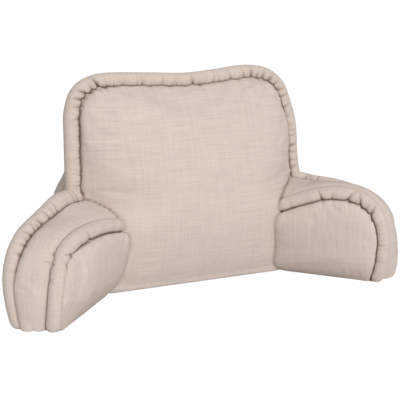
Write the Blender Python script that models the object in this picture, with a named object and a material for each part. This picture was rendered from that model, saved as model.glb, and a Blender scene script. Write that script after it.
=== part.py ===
"""A bed-rest back cushion: a stuffed wedge-shaped back with two splayed arms, all edged in jumbo cord.

Metres, +Z up. The sitter faces -Y with the arms reaching forward and outward on either side. Left
and right are as seen from the front, so the left arm is on the -X side.
The back and each arm are boxed cushions: a front panel and a rear panel joined by a band. Where a
jumbo cord is sewn into an edge, the cushion is drawn in around it and follows its round side.
"""

import bpy
import bmesh
import numpy as np

GAP = 0.0003                # clearance between two pieces that touch
CUTTER_GAP = 0.00036        # growth of a cutter, a little more as its facets flatten its curves
CORD_SIDES = 12             # sides of a cord's section, every 30 degrees
SEAM_SIDE = 4               # the cord side (120 degrees from outward) where a panel's edge meets it
BOXING_SIDE = 9             # the cord side (270 degrees) where an arm's boxing strip meets it
CROWN_FLATNESS = 4.0        # powers that shape a stuffed panel: how flat its middle is,
CROWN_STEEPNESS = 0.55      # how steeply it falls to its seams (a smaller power is steeper),
SLACK_FLATNESS = 2.6        # the same two where the panel is slack,
SLACK_STEEPNESS = 0.85
FOOT_FALL = 2.5             # and how late it falls to its foot

# Whole object
FRAME_X = -0.0022           # shift that puts the origin under the middle of the object
FRAME_Y = -0.0089

# Back cushion
BACK_CORD_RADIUS = 0.0155
BACK_LEAN = 0.125           # how far the edge moves back for each metre of height
BACK_EDGE_Y = 0.0182        # depth of the cord's middle, carried down to the floor
BACK_COLUMNS, BACK_ROWS = 28, 26
BACK_LOW = 8                # edge points on each side below the cord
BASE_LIFT = 0.005           # height of the seam along the front of the base
BASE_INSETS = (0.009, 0.0045, 0.0012, 0.0)      # shift to the rear of each loop behind that seam
FLOOR = 1e-6                # lower than this counts as on the floor
BACK_BAND = 5               # rings of the side band behind the cord
BAND_BULGE = 0.018          # how far the side band swells out between its seams
BAND_SKEW = 0.45            # share of the swelling lost towards the rear
BAND_LEAST = 0.25           # share of the bulge that the shallowest band keeps
EDGE_INSET = 0.5            # cord radii by which the plain edge lies inside the cord's middle line
BAND_FLARE = 0.015          # how far the rear edge stands out from the seam low down
BAND_TAPER = -0.018         # and how far it is drawn in higher up
FLARE_Z = (0.175, 0.240)    # heights between which the flare gives way to the taper
FULL_BAND = 0.060           # depth of a band that swells by the whole bulge

# Middle line of the cord around the back, front view, from the left junction to the right one
BACK_CORD_ROWS = (
    # x, z
    (-0.210, 0.173), (-0.208, 0.220), (-0.206, 0.270), (-0.203, 0.306), (-0.192, 0.339),
    (-0.166, 0.3545), (-0.128, 0.358), (-0.058, 0.3545), (0.000, 0.352), (0.050, 0.355),
    (0.100, 0.3605), (0.132, 0.3615), (0.162, 0.356), (0.1855, 0.337), (0.197, 0.308),
    (0.204, 0.275), (0.206, 0.239), (0.206, 0.208), (0.210, 0.173),
)

# Side of the back below the cord, hidden by the arm, down to the corner of the base
BACK_SIDE_ROWS = (
    # x, z
    (0.2085, 0.110), (0.2030, 0.050), (0.1990, 0.016), (0.1860, 0.000),
)

# Side view of the stuffed back: how far each face stands from its edge at each height
BACK_PROFILE = (
    # z, front crown, y of the rear edge, rear crown
    (0.000, 0.022, 0.106, 0.012), (0.020, 0.046, 0.116, 0.020), (0.050, 0.064, 0.128, 0.027),
    (0.110, 0.070, 0.137, 0.028), (0.170, 0.063, 0.134, 0.027), (0.230, 0.052, 0.120, 0.026),
    (0.290, 0.041, 0.104, 0.022), (0.335, 0.032, 0.095, 0.016), (0.370, 0.026, 0.091, 0.012),
)

# How easily the front panel falls away at its sides: most where the arms are sewn in
SIDE_SLACK = (
    # z, slack
    (0.000, 0.10), (0.100, 0.15), (0.125, 0.30), (0.150, 1.15), (0.180, 1.15), (0.260, 0.00),
)

# Arms, in their own frame: s along the arm, z up, n across it from the sitter's side outward
ARM_SPLAY = 51.5            # degrees between an arm and straight ahead
ARM_ROOT = (0.161, -0.019)  # plan position of the inner cord's middle where the arm begins
ARM_CORD_RADIUS = 0.0140
ARM_BURIED = -0.045         # s of the hidden end inside the back
ARM_COLUMNS, ARM_ROWS = 15, 11
ARM_BOXING = 4              # points across the boxing strip between the cords
BOXING_TOP = (0.0075, 0.015, 0.015, 0.0075)     # how far the strip's points stand above the
BOXING_FRONT = (0.0075, 0.015, 0.019, 0.015)    # middles of the cords, on top and down the front
BOXING_INSET = 0.0175       # from a cord's middle to the strip's first point
ARM_PANEL_CROWN = {"inner": 0.022, "outer": 0.020}
ARM_TUCK = 0.032            # how far the inner panel's foot is tucked outward at the back
ARM_LIFT = 0.005            # height of the seam along the inner panel's foot
ARM_LIFT_RUN = 0.030        # length over which the seam rises from the cord to that height

# Middle line of each arm cord, from inside the back, over the top, down the front to the floor
ARM_CORD_ROWS = {
    # s, n, z
    ("left", "inner"): (
        (-0.034, 0.000, 0.117), (0.000, 0.000, 0.127), (0.050, 0.000, 0.1345), (0.104, 0.000, 0.1325),
        (0.139, 0.000, 0.120), (0.156, 0.000, 0.099), (0.164, 0.000, 0.070), (0.169, 0.001, 0.036),
        (0.168, 0.003, 0.012), (0.166, 0.004, 0.000),
    ),
    ("left", "outer"): (
        (-0.026, 0.071, 0.157), (0.004, 0.070, 0.167), (0.030, 0.069, 0.170), (0.060, 0.069, 0.167),
        (0.087, 0.070, 0.161), (0.115, 0.071, 0.153), (0.146, 0.072, 0.140), (0.167, 0.073, 0.119),
        (0.178, 0.073, 0.093), (0.182, 0.0725, 0.065), (0.182, 0.0705, 0.039), (0.180, 0.067, 0.016),
        (0.179, 0.064, 0.000),
    ),
    ("right", "inner"): (
        (-0.034, 0.000, 0.119), (0.000, 0.000, 0.132), (0.034, 0.000, 0.1445), (0.075, 0.000, 0.156),
        (0.117, 0.000, 0.1555), (0.147, 0.000, 0.142), (0.166, 0.000, 0.118), (0.175, 0.000, 0.084),
        (0.174, 0.001, 0.040), (0.168, 0.006, 0.012), (0.165, 0.010, 0.000),
    ),
    ("right", "outer"): (
        (-0.026, 0.072, 0.156), (0.004, 0.072, 0.167), (0.045, 0.072, 0.161), (0.092, 0.072, 0.154),
        (0.144, 0.072, 0.137), (0.170, 0.072, 0.114), (0.183, 0.072, 0.084), (0.189, 0.071, 0.044),
        (0.189, 0.067, 0.014), (0.189, 0.063, 0.000),
    ),
}

# Gathers drawn into each cord's cover: place along the cord, share of the radius lost, half length
GATHER_ROWS = {
    # metres from the cord's first end, depth, half length
    "back_cord": (
        (0.086, 0.07, 0.012), (0.128, 0.08, 0.011), (0.160, 0.12, 0.010), (0.182, 0.13, 0.010),
        (0.207, 0.18, 0.009), (0.292, 0.06, 0.010), (0.329, 0.06, 0.010), (0.382, 0.12, 0.010),
        (0.458, 0.08, 0.010), (0.516, 0.13, 0.010), (0.536, 0.17, 0.010), (0.560, 0.12, 0.010),
        (0.598, 0.08, 0.011), (0.648, 0.15, 0.010), (0.676, 0.10, 0.010),
    ),
    "left_inner": ((0.085, 0.10, 0.010), (0.128, 0.13, 0.010), (0.150, 0.10, 0.010), (0.212, 0.05, 0.012)),
    "left_outer": ((0.075, 0.08, 0.011), (0.120, 0.09, 0.011), (0.178, 0.10, 0.012), (0.222, 0.05, 0.012)),
    "right_inner": ((0.088, 0.10, 0.010), (0.138, 0.15, 0.010), (0.162, 0.13, 0.010), (0.186, 0.14, 0.010)),
    "right_outer": ((0.050, 0.06, 0.011), (0.110, 0.07, 0.011), (0.180, 0.09, 0.012), (0.225, 0.05, 0.012)),
}

LINEN = (0.66, 0.585, 0.51)


# Curves and profiles


def smooth_path(rows, count):
    """Even points along the Catmull-Rom curve through the rows."""
    rows = np.asarray(rows, float)
    ends = np.vstack([2 * rows[0] - rows[1], rows, 2 * rows[-1] - rows[-2]])
    t = np.linspace(0.0, 1.0, 40, endpoint=False)[:, None]
    spans = []
    for a, b, c, d in zip(ends, ends[1:], ends[2:], ends[3:]):
        spans.append(0.5 * (2 * b + (c - a) * t + (2 * a - 5 * b + 4 * c - d) * t**2
                            + (3 * b - 3 * c + d - a) * t**3))
    fine = np.vstack([*spans, rows[-1:]])
    length = np.concatenate([[0.0], np.cumsum(np.linalg.norm(np.diff(fine, axis=0), axis=1))])
    even = np.linspace(0.0, length[-1], count)
    return np.column_stack([np.interp(even, length, fine[:, k]) for k in range(rows.shape[1])])


def arc_lengths(points):
    """Distance along the points from the first."""
    return np.concatenate([[0.0], np.cumsum(np.linalg.norm(np.diff(points, axis=0), axis=1))])


def unit(vectors):
    """The vectors at length one."""
    return vectors / np.linalg.norm(vectors, axis=-1, keepdims=True)


def smooth_step(x):
    """0 below 0, 1 above 1, with an easy change between."""
    x = np.clip(x, 0.0, 1.0)
    return x * x * (3 - 2 * x)


def pillow(across, up, slack=0.0):
    """Crown of a stuffed panel, 0 on its edges and 1 in the middle. It is steep at the top and side
    seams and easy at the foot. Slack, 0 to 1, makes the sides easy too."""
    flatness = CROWN_FLATNESS + (SLACK_FLATNESS - CROWN_FLATNESS) * slack
    steepness = CROWN_STEEPNESS + (SLACK_STEEPNESS - CROWN_STEEPNESS) * slack
    sides = np.clip(1 - np.abs(2 * across - 1) ** flatness, 0.0, 1.0) ** steepness
    above = np.clip(1 - np.abs(2 * up - 1) ** CROWN_FLATNESS, 0.0, 1.0) ** CROWN_STEEPNESS
    below = 1 - np.clip(1 - 2 * up, 0.0, 1.0) ** FOOT_FALL
    return sides * np.where(up > 0.5, above, below)


# Cords


def cord_rings(middle, outward, across, radius):
    """A cord's surface points, (stations, sides, 3). Side k stands k * 30 degrees from outward,
    turning first towards the panel, which is the way opposite to across."""
    angle = np.arange(CORD_SIDES) * 2 * np.pi / CORD_SIDES
    spoke = (np.cos(angle)[None, :, None] * outward[:, None, :]
             - np.sin(angle)[None, :, None] * across[:, None, :])
    return middle[:, None, :] + radius[:, None, None] * spoke


def gathered_radius(name, middle, radius):
    """Radius at each station, drawn in at each gather and full between them."""
    along = arc_lengths(middle)
    share = np.ones(len(along))
    for place, depth, half_length in GATHER_ROWS[name]:
        share -= depth * np.exp(-(((along - place) / half_length) ** 2))
    return radius * share


def tube_faces(stations, sides):
    """Faces of a capped tube whose points are stacked ring by ring."""
    faces = [tuple(range(sides))[::-1]]
    for i in range(stations - 1):
        for k in range(sides):
            a, b = i * sides + k, i * sides + (k + 1) % sides
            faces.append((a, b, b + sides, a + sides))
    faces.append(tuple(range((stations - 1) * sides, stations * sides)))
    return faces


# Boxed cushions: two panels and the band between them


def edge_order(columns, rows):
    """Grid places (column, row) once around a panel: up the left, over the top, down the right,
    and back along the foot."""
    left = [(0, j) for j in range(rows)]
    top = [(i, rows) for i in range(columns)]
    right = [(columns, rows - j) for j in range(rows)]
    foot = [(columns - i, 0) for i in range(columns)]
    return left + top + right + foot


def panel_grid(edge, columns, rows):
    """Points of a panel stretched inside its edge loop by a Coons patch, (columns+1, rows+1, 3)."""
    grid = np.zeros((columns + 1, rows + 1, 3))
    for point, (i, j) in zip(edge, edge_order(columns, rows)):
        grid[i, j] = point
    u = np.linspace(0, 1, columns + 1)[:, None, None]
    v = np.linspace(0, 1, rows + 1)[None, :, None]
    sides = (1 - u) * grid[:1, :] + u * grid[-1:, :]
    ends = (1 - v) * grid[:, :1] + v * grid[:, -1:]
    corners = ((1 - u) * (1 - v) * grid[0, 0] + u * (1 - v) * grid[-1, 0]
               + (1 - u) * v * grid[0, -1] + u * v * grid[-1, -1])
    return sides + ends - corners


def boxed_cushion(front, band, rear, columns, rows):
    """Points and faces of a closed cushion. front and rear are grids; band holds the loops between
    their edges, each in edge_order."""
    order = edge_order(columns, rows)
    around = len(order)
    grid_size = (columns + 1) * (rows + 1)

    def front_index(i, j):
        return i * (rows + 1) + j

    def rear_index(i, j):
        return grid_size + i * (rows + 1) + j

    loops = [[front_index(i, j) for i, j in order]]
    for ring in range(len(band)):
        loops.append([2 * grid_size + ring * around + k for k in range(around)])
    loops.append([rear_index(i, j) for i, j in order])
    faces = []
    for i in range(columns):
        for j in range(rows):
            faces.append((front_index(i, j), front_index(i + 1, j),
                          front_index(i + 1, j + 1), front_index(i, j + 1)))
            faces.append((rear_index(i, j), rear_index(i, j + 1),
                          rear_index(i + 1, j + 1), rear_index(i + 1, j)))
    for near, far in zip(loops, loops[1:]):
        for k in range(around):
            n = (k + 1) % around
            faces.append((near[k], near[n], far[n], far[k]))
    points = np.vstack([front.reshape(-1, 3), rear.reshape(-1, 3), *band])
    return points, faces


# Back cushion and its cord


def edge_y(z):
    """Depth of the back's leaning edge at a height, at the middle of the cord."""
    return BACK_EDGE_Y + BACK_LEAN * z


def back_profile(z, column):
    """One column of the side view's table at each height."""
    table = smooth_path(BACK_PROFILE, count=60)
    place = ("z", "front crown", "rear edge", "rear crown").index(column)
    return np.interp(z, table[:, 0], table[:, place])


def back_cord_frame():
    """Middle line, outward and across directions and radius of the back's cord."""
    flat = smooth_path(BACK_CORD_ROWS, count=2 * (BACK_ROWS - BACK_LOW) + BACK_COLUMNS + 1)
    middle = np.column_stack([flat[:, 0], edge_y(flat[:, 1]), flat[:, 1]])
    along = unit(np.gradient(middle, axis=0))
    across = np.array([0.0, 1.0, 0.0]) - along[:, 1:2] * along
    across = unit(across)
    outward = np.cross(along, across)
    radius = gathered_radius("back_cord", middle, BACK_CORD_RADIUS)
    return middle, outward, across, radius


def build_back():
    """Points and faces of the back cushion, and those of its cord."""
    middle, outward, across, radius = back_cord_frame()
    cord = cord_rings(middle, outward, across, radius)
    groove = cord_rings(middle, outward, across, radius + GAP)

    # One loop around the back from the left foot corner: left side, cord, right side, base
    around = 2 * (BACK_COLUMNS + BACK_ROWS)
    ends = middle[:, [0, 2]]
    side_rows = np.array(BACK_SIDE_ROWS)
    right_low = smooth_path(np.vstack([ends[-1], side_rows]), count=BACK_LOW + 1)[1:]
    left_low = smooth_path(np.vstack([side_rows[::-1] * (-1, 1), ends[0]]), count=BACK_LOW + 1)[:-1]
    base_x = np.linspace(right_low[-1, 0], left_low[0, 0], BACK_COLUMNS + 1)[1:-1]
    base = np.column_stack([base_x, np.zeros(len(base_x))])
    flat = np.vstack([left_low, ends, right_low, base])
    cord_part = slice(BACK_LOW, BACK_LOW + len(middle))
    turn = np.roll(flat, -1, axis=0) - np.roll(flat, 1, axis=0)
    normal = unit(np.column_stack([-turn[:, 1], np.zeros(around), turn[:, 0]]))
    normal[cord_part] = outward
    z = flat[:, 1]
    on_floor = z < FLOOR

    rear_y = back_profile(z, "rear edge")
    r = BACK_CORD_RADIUS + GAP
    loops = []
    angles = np.arange(SEAM_SIDE, CORD_SIDES - SEAM_SIDE + 1) * 2 * np.pi / CORD_SIDES
    for side, angle in zip(range(SEAM_SIDE, CORD_SIDES - SEAM_SIDE + 1), angles):
        loop = np.column_stack([flat[:, 0], edge_y(z) - r * np.sin(angle), z])
        loop -= normal * r * EDGE_INSET * (~on_floor)[:, None]
        if side == SEAM_SIDE:
            loop[on_floor, 2] = BASE_LIFT
        else:
            loop[on_floor, 1] += BASE_INSETS[side - SEAM_SIDE - 1]
        loop[cord_part] = groove[:, side]
        loops.append(loop)
    front_edge = loops.pop(0)
    rear_seam = loops[-1]
    high = smooth_step((z - FLARE_Z[0]) / (FLARE_Z[1] - FLARE_Z[0]))
    spread = BAND_FLARE + (BAND_TAPER - BAND_FLARE) * high
    for ring in range(1, BACK_BAND + 1):
        t = ring / BACK_BAND
        bulge = BAND_BULGE * np.sin(np.pi * t) * (1 - BAND_SKEW * t) + spread * t
        y = rear_seam[:, 1] + (rear_y - rear_seam[:, 1]) * t
        deep = np.clip((rear_y - rear_seam[:, 1]) / FULL_BAND, BAND_LEAST, 1.0)
        loop = rear_seam + normal * (bulge * deep * ~on_floor)[:, None]
        loop[:, 1] = y
        loop[:, 2] = np.where(on_floor, 0.0, np.maximum(loop[:, 2], 0.0))
        loops.append(loop)
    rear_edge = loops.pop()

    u = np.linspace(0, 1, BACK_COLUMNS + 1)[:, None]
    v = np.linspace(0, 1, BACK_ROWS + 1)[None, :]
    front = panel_grid(front_edge, BACK_COLUMNS, BACK_ROWS)
    rear = panel_grid(rear_edge, BACK_COLUMNS, BACK_ROWS)
    slack = np.interp(front[:, :, 2], *np.transpose(SIDE_SLACK))
    front[:, :, 1] -= back_profile(front[:, :, 2], "front crown") * pillow(u, v, slack)
    rear[:, :, 1] += back_profile(rear[:, :, 2], "rear crown") * pillow(u, v)
    cushion = boxed_cushion(front, loops, rear, BACK_COLUMNS, BACK_ROWS)
    cord_mesh = (cord.reshape(-1, 3), tube_faces(len(middle), CORD_SIDES))
    return cushion, cord_mesh


# Arms and their cords


def arm_world(side, s, n, z):
    """World place of arm coordinates; side is -1 for the left arm and 1 for the right."""
    splay = np.radians(ARM_SPLAY)
    x = ARM_ROOT[0] + s * np.sin(splay) + n * np.cos(splay)
    y = ARM_ROOT[1] - s * np.cos(splay) + n * np.sin(splay)
    return np.stack([side * x, y, z * np.ones_like(x)], axis=-1)


def arm_cord(hand, which):
    """Rings of an arm cord in (s, n, z), and the same rings one gap larger."""
    middle = smooth_path(ARM_CORD_ROWS[(hand, which)], count=ARM_COLUMNS + ARM_ROWS + 1)
    along = unit(np.gradient(middle, axis=0))
    along[-1] = (0.0, 0.0, -1.0)
    across = np.tile((0.0, 1.0 if which == "inner" else -1.0, 0.0), (len(middle), 1))
    outward = np.cross(along, (0.0, 1.0, 0.0))
    radius = gathered_radius(f"{hand}_{which}", middle, ARM_CORD_RADIUS)
    return (cord_rings(middle, outward, across, radius),
            cord_rings(middle, outward, across, radius + GAP), middle, outward)


def build_arm(hand):
    """Points and faces of one arm cushion and of its inner and outer cord."""
    side = -1 if hand == "left" else 1
    inner_cord, inner_groove, inner_middle, inner_out = arm_cord(hand, "inner")
    outer_cord, outer_groove, outer_middle, outer_out = arm_cord(hand, "outer")
    arc_count = len(inner_middle)

    # Bands of points from the inner panel's edge to the outer panel's edge over the arched part
    groove_sides = range(SEAM_SIDE, BOXING_SIDE + 1)
    arc_loops = [inner_groove[:, k] for k in groove_sides]
    down = smooth_step(np.linspace(-0.5, 1.5, arc_count))[:, None]     # 0 on top, 1 down the front
    low = inner_middle + (0, BOXING_INSET, 0)
    high = outer_middle - (0, BOXING_INSET, 0)
    for share, on_top, in_front in zip(np.linspace(0, 1, ARM_BOXING), BOXING_TOP, BOXING_FRONT):
        strip_out = unit(inner_out + (outer_out - inner_out) * share)
        strip = low + (high - low) * share + strip_out * (on_top + (in_front - on_top) * down)
        strip[-1, 2] = 0.0
        arc_loops.append(strip)
    arc_loops += [outer_groove[:, k] for k in reversed(groove_sides)]

    # The same loops run on along the foot on the floor and up the hidden root
    root_count = ARM_ROWS - 1
    outer_n = outer_middle[-1, 1]
    loops = []
    for place, loop in enumerate(arc_loops):
        nominal = loop[-1, 1]
        inner_share = 1 - np.clip(nominal / outer_n, 0, 1)
        foot_s = np.linspace(loop[-1, 0], ARM_BURIED, ARM_COLUMNS + 1)[1:]
        tuck = ARM_TUCK * inner_share * (foot_s[0] - foot_s) / (foot_s[0] - ARM_BURIED)
        foot = np.column_stack([foot_s, nominal + tuck, np.zeros(len(foot_s))])
        if place == 0:
            foot[:, 2] = ARM_LIFT * smooth_step((loop[-1, 0] - foot_s) / ARM_LIFT_RUN)
        top = loop[0]
        rise = np.linspace(0, 1, ARM_ROWS + 1)[1:-1, None]
        root = foot[-1] + (top - foot[-1]) * rise
        loops.append(np.vstack([loop, foot, root]))

    # Grids start at the root's foot, go up the root, over the top and down the front
    loops = [np.roll(loop, root_count + 1, axis=0) for loop in loops]
    panels = []
    for edge, way, name in ((loops[0], -1, "inner"), (loops[-1], 1, "outer")):
        grid = panel_grid(edge, ARM_COLUMNS, ARM_ROWS)
        u = np.linspace(0, 1, ARM_COLUMNS + 1)[:, None]
        v = np.linspace(0, 1, ARM_ROWS + 1)[None, :]
        grid[:, :, 1] += way * ARM_PANEL_CROWN[name] * pillow(u, v)
        panels.append(grid)
    points, faces = boxed_cushion(panels[0], loops[1:-1], panels[1], ARM_COLUMNS, ARM_ROWS)
    meshes = [(arm_world(side, *points.T), faces)]
    for rings in (inner_cord, outer_cord):
        flat = rings.reshape(-1, 3)
        flat[-CORD_SIDES:, 2] = 0.0
        meshes.append((arm_world(side, *flat.T), tube_faces(arc_count, CORD_SIDES)))
    return meshes


# Blender objects


def add_object(name, mesh_data, material):
    """A mesh object with its faces pointing out."""
    points, faces = mesh_data
    points = points + np.array([FRAME_X, FRAME_Y, 0.0])
    mesh = bpy.data.meshes.new(name)
    mesh.from_pydata(points.tolist(), [], faces)
    work = bmesh.new()
    work.from_mesh(mesh)
    bmesh.ops.recalc_face_normals(work, faces=work.faces)
    if work.calc_volume(signed=True) < 0:
        bmesh.ops.reverse_faces(work, faces=work.faces)
    bmesh.ops.triangulate(work, faces=work.faces)
    work.to_mesh(mesh)
    work.free()
    mesh.shade_smooth()
    mesh.materials.append(material)
    item = bpy.data.objects.new(name, mesh)
    bpy.context.scene.collection.objects.link(item)
    return item


def grown_copy(item):
    """A hidden copy of a piece, one gap larger all over, for cutting its neighbours."""
    copy = item.copy()
    copy.data = item.data.copy()
    copy.name = item.name + "_cutter"
    bpy.context.scene.collection.objects.link(copy)
    work = bmesh.new()
    work.from_mesh(copy.data)
    work.normal_update()
    moves = [(v, v.co + v.normal * CUTTER_GAP * v.calc_shell_factor()) for v in work.verts]
    for vertex, place in moves:
        vertex.co = place
    work.to_mesh(copy.data)
    work.free()
    copy.hide_render = True
    copy.display_type = "WIRE"
    return copy


def cut(item, cutter):
    """Takes the cutter's space out of a piece."""
    modifier = item.modifiers.new("cut_by_" + cutter.name, "BOOLEAN")
    modifier.operation = "DIFFERENCE"
    modifier.solver = "EXACT"
    modifier.object = cutter


def cloth_material(name, colour, roughness):
    """Plain beige linen-look cloth."""
    material = bpy.data.materials.new(name)
    material.use_nodes = True
    shader = material.node_tree.nodes["Principled BSDF"]
    shader.inputs["Base Color"].default_value = (*colour, 1.0)
    shader.inputs["Roughness"].default_value = roughness
    shader.inputs["Metallic"].default_value = 0.0
    return material


def main():
    for item in list(bpy.data.objects):
        bpy.data.objects.remove(item)
    cushion_cloth = cloth_material("cushion_cloth", LINEN, 0.9)
    cord_cloth = cloth_material("cord_cloth", LINEN, 0.9)
    back_mesh, back_cord_mesh = build_back()
    back = add_object("back_cushion", back_mesh, cushion_cloth)
    back_cord = add_object("back_cord", back_cord_mesh, cord_cloth)
    back_cutter = grown_copy(back)
    for hand in ("left", "right"):
        arm_mesh, inner_mesh, outer_mesh = build_arm(hand)
        arm = add_object(f"{hand}_arm_cushion", arm_mesh, cushion_cloth)
        inner = add_object(f"{hand}_arm_inner_cord", inner_mesh, cord_cloth)
        outer = add_object(f"{hand}_arm_outer_cord", outer_mesh, cord_cloth)
        for item in (outer, arm):
            cut(back_cord, grown_copy(item))
        for item in (arm, inner, outer):
            cut(item, back_cutter)


main()
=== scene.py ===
"""Bed-rest back cushion in beige linen-look cloth: a stuffed wedge-shaped back with two splayed arms,
all edged in fat gathered cord. Metres, +Z up, front towards -Y. Left and right are as seen from the
front."""

import bmesh
import bpy
import numpy as np
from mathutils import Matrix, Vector


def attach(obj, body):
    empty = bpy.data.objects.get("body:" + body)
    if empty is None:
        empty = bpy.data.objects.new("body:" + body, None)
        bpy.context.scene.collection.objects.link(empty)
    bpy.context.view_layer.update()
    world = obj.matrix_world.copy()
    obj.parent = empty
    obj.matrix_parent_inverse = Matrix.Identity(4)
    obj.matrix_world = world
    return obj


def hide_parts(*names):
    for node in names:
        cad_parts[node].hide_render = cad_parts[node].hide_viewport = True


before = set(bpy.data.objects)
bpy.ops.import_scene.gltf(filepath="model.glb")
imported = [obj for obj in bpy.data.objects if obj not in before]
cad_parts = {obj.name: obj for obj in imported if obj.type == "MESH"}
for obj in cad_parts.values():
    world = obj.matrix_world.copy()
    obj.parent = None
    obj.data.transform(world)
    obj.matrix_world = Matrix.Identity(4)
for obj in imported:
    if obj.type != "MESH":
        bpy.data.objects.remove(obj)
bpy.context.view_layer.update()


# Camera, floor and light.
# The camera stands a little above the cushion and to its left, with a short telephoto lens. The floor
# is white paper. The light is a white room, a large lamp above in front, and a smaller one at the left.

CAMERA_PLACE = (-0.6632, -1.4681, 0.5165)
CAMERA_TARGET = (-0.0210, -0.0589, 0.1647)
CAMERA_LENS = 85.1
SENSOR_WIDTH = 36.0
# The room's strength as light, and that of the room and the floor as the camera sees them
ROOM_STRENGTH = 0.41
SEEN_STRENGTH = 1.05
FLOOR_HALF = 300.0
FLOOR_GREY = 0.72
FLOOR_ROUGHNESS = 0.95
FLOOR_SEEN_SHARE = 0.94
KEY_WAY = (-0.03, 0.80, -0.54)
KEY_ANGLE = 32.0
KEY_ENERGY = 1.95
FILL_PLACE = (-0.90, -2.40, 0.70)
FILL_TARGET = (-0.2, -0.1, 0.15)
FILL_SIZE = 1.4
FILL_ENERGY = 11.5
WHITE = (1.0, 1.0, 1.0, 1.0)


def node(tree, kind, links=None, **values):
    """A node of the tree with its settings, and its inputs set or linked."""
    made = tree.nodes.new(kind)
    for key, value in values.items():
        setattr(made, key, value)
    for socket, source in (links or {}).items():
        if isinstance(source, bpy.types.NodeSocket):
            tree.links.new(source, made.inputs[socket])
        else:
            made.inputs[socket].default_value = source
    return made


def maths(tree, operation, *sources):
    """The result of one Math node."""
    return node(tree, "ShaderNodeMath", dict(enumerate(sources)), operation=operation).outputs[0]


scene = bpy.context.scene
camera = bpy.data.objects.new("camera", bpy.data.cameras.new("camera"))
camera.location = CAMERA_PLACE
look = Vector(CAMERA_TARGET) - Vector(CAMERA_PLACE)
camera.rotation_euler = look.to_track_quat("-Z", "Y").to_euler()
camera.data.lens = CAMERA_LENS
camera.data.sensor_width = SENSOR_WIDTH
scene.collection.objects.link(camera)
scene.camera = camera
scene.view_settings.view_transform = "Standard"

world = bpy.data.worlds.new("white_room")
world.use_nodes = True
room = world.node_tree.nodes["Background"]
room.inputs["Color"].default_value = WHITE
seen = node(world.node_tree, "ShaderNodeLightPath").outputs["Is Camera Ray"]
strength = maths(world.node_tree, "MULTIPLY_ADD", seen, SEEN_STRENGTH - ROOM_STRENGTH, ROOM_STRENGTH)
world.node_tree.links.new(strength, room.inputs["Strength"])
scene.world = world

floor_mesh = bpy.data.meshes.new("floor")
floor_corners = [(x * FLOOR_HALF, y * FLOOR_HALF, 0.0) for x, y in ((-1, -1), (1, -1), (1, 1), (-1, 1))]
floor_mesh.from_pydata(floor_corners, [], [(0, 1, 2, 3)])
floor = bpy.data.objects.new("floor", floor_mesh)
scene.collection.objects.link(floor)
floor_paper = bpy.data.materials.new("floor_paper")
floor_paper.use_nodes = True
tree = floor_paper.node_tree
paper = tree.nodes["Principled BSDF"]
paper.inputs["Base Color"].default_value = (FLOOR_GREY, FLOOR_GREY, FLOOR_GREY, 1.0)
paper.inputs["Roughness"].default_value = FLOOR_ROUGHNESS
paper.inputs["Specular IOR Level"].default_value = 0.0
bright = node(tree, "ShaderNodeEmission", {"Color": WHITE, "Strength": SEEN_STRENGTH})
seen = node(tree, "ShaderNodeLightPath").outputs["Is Camera Ray"]
share = maths(tree, "MULTIPLY", seen, FLOOR_SEEN_SHARE)
mix = node(tree, "ShaderNodeMixShader", {0: share, 1: paper.outputs[0], 2: bright.outputs[0]})
tree.links.new(mix.outputs[0], tree.nodes["Material Output"].inputs["Surface"])
floor_mesh.materials.append(floor_paper)

key = bpy.data.objects.new("key_lamp", bpy.data.lights.new("key_lamp", "SUN"))
key.rotation_euler = Vector(KEY_WAY).to_track_quat("-Z", "Y").to_euler()
key.data.energy = KEY_ENERGY
key.data.angle = np.radians(KEY_ANGLE)
scene.collection.objects.link(key)
fill = bpy.data.objects.new("fill_lamp", bpy.data.lights.new("fill_lamp", "AREA"))
fill.location = FILL_PLACE
fill.rotation_euler = (Vector(FILL_TARGET) - fill.location).to_track_quat("-Z", "Y").to_euler()
fill.data.size = FILL_SIZE
fill.data.energy = FILL_ENERGY
scene.collection.objects.link(fill)


# Back cushion.
# A boxed cover of linen-look cloth stuffed with fibre: a front panel, a rear panel and a deep band,
# drawn in where the cord is sewn between the front panel and the band.

# How far the covers stand off the cords, less than nothing so that no slit shows
GAP = -0.0003
# Added to every place, so that the origin lies under the middle of the whole cushion's box
FRAME_SHIFT = (-0.0022, -0.0089, 0.0)
BACK_CORD_RADIUS = 0.0155
BACK_LEAN = 0.125
BACK_EDGE_Y = 0.0182
BACK_COLUMNS, BACK_ROWS, BACK_LOW = 84, 78, 24
# Turns around the cord, from straight outward, that the panel's and the band's groove takes up
GROOVE_TURNS = np.radians(np.linspace(120.0, 240.0, 11))
BACK_PUCKERS = 0.10
PUCKER_STEP = 0.0055
LEAST_SHARE = 0.40
# The rounded front edge of the base: its lift, and how far back each ring of the groove lies
BASE_LIFT = 0.0015
BASE_SHIFTS = np.array([0.009, 0.0078, 0.0064, 0.0045, 0.0035, 0.0024, 0.0012, 0.0006, 0.0003, 0.0])
EDGE_INSET = 0.5
# The band: rings, bulge, how far the bulge lies forward, and how it widens low down and narrows above
BACK_BAND = 14
BAND_BULGE = 0.018
BAND_SKEW = 0.45
BAND_LEAST = 0.25
FULL_BAND = 0.060
BAND_FLARE = 0.019
BAND_TAPER = -0.018
FLARE_Z = (0.145, 0.235)
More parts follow.
